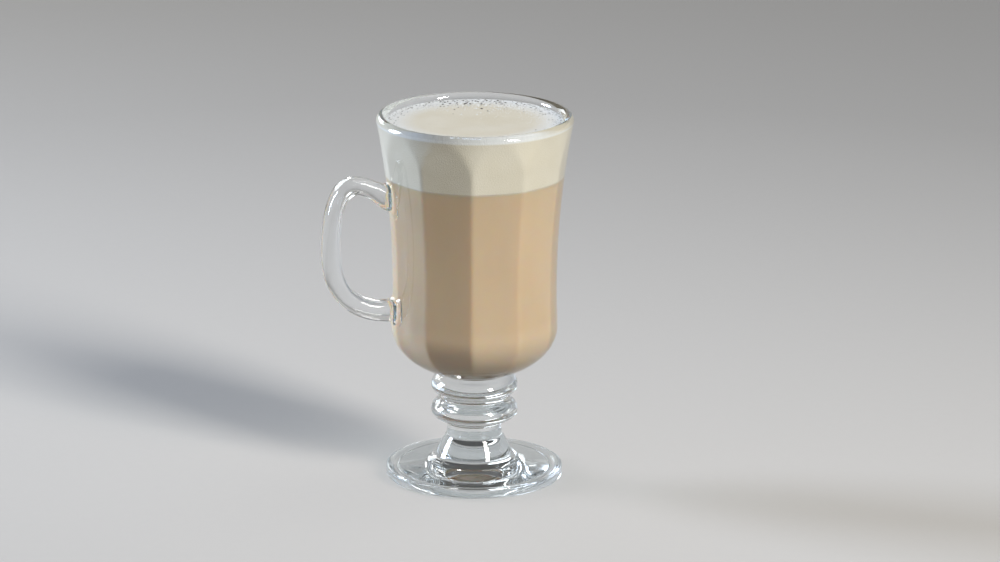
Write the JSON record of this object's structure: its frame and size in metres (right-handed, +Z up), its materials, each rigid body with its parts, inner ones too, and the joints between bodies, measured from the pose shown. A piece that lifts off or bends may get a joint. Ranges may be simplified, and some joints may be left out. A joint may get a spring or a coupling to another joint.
{
  "type": "latte in a footed glass mug",
  "caption": "Clear footed glass mug with a loop handle, filled with milky coffee under a pale layer of milk foam.",
  "frame": {"origin": "on the bowl's axis, in the plane of the foot's flat underside", "axes": "+Z up along the bowl's axis; the handle points along -X"},
  "size_m": [0.0992, 0.0762, 0.1447],
  "materials": {
    "clear_glass": "clear pressed glass, fire-polished, smooth",
    "milky_coffee": "opaque milky coffee, wet against the glass",
    "milk_foam": "fine milk foam, matt, with tiny bubbles round its edge"
  },
  "bodies": {
    "root": {"glass": "clear_glass", "latte": "milky_coffee", "foam": "milk_foam"}
  },
  "joints": []
}
